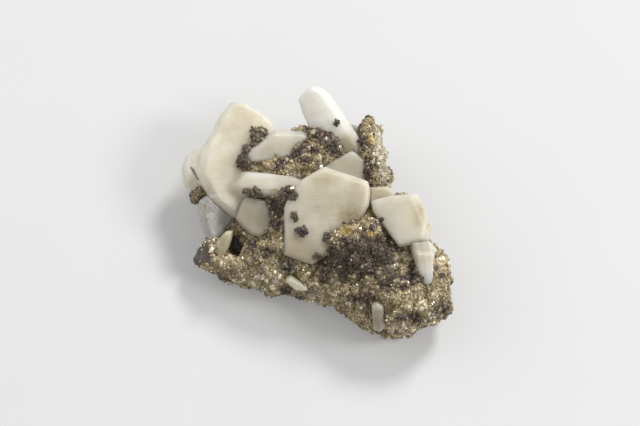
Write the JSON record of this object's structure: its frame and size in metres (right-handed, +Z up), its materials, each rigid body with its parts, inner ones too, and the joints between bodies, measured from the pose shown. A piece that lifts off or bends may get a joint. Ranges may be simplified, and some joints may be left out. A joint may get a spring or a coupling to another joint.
{
  "type": "luzonite specimen",
  "caption": "Mineral hand specimen: a rock crusted with small luzonite balls, with pale tabular barite crystals grown on it, standing on a flat break.",
  "frame": {"origin": "middle of the specimen's box, on the flat break that it stands on", "axes": "+X to the right and +Y away from the viewer as the specimen is shown, along its length and breadth; +Z up"},
  "size_m": [0.082, 0.0754, 0.0305],
  "materials": {
    "crusted_rock": "knobbly crust of dull brown and brassy sparkling grains",
    "barite": "milky, slightly translucent, smooth crystal faces",
    "clear_barite": "clear grey crystal with cloudy patches",
    "luzonite": "dull dark metallic balls"
  },
  "bodies": {
    "root": {"luzonite_crusted_rock": "crusted_rock", "barite_large_blade": "barite", "barite_middle_blade": "barite", "barite_back_blade": "barite", "barite_upper_blade": "barite", "barite_hollow_blade": "barite", "barite_grey_blade": "barite", "barite_clear_crystal": "clear_barite", "barite_left_blade": "barite", "barite_square_blade": "barite", "barite_stepped_blade": "barite", "barite_front_prism": "barite", "barite_front_chip": "barite", "barite_foot_blade": "barite", "barite_back_tip": "barite", "luzonite_left_clump": "luzonite", "luzonite_upper_ball": "luzonite", "luzonite_middle_pair": "luzonite", "luzonite_middle_cluster": "luzonite"}
  },
  "joints": []
}
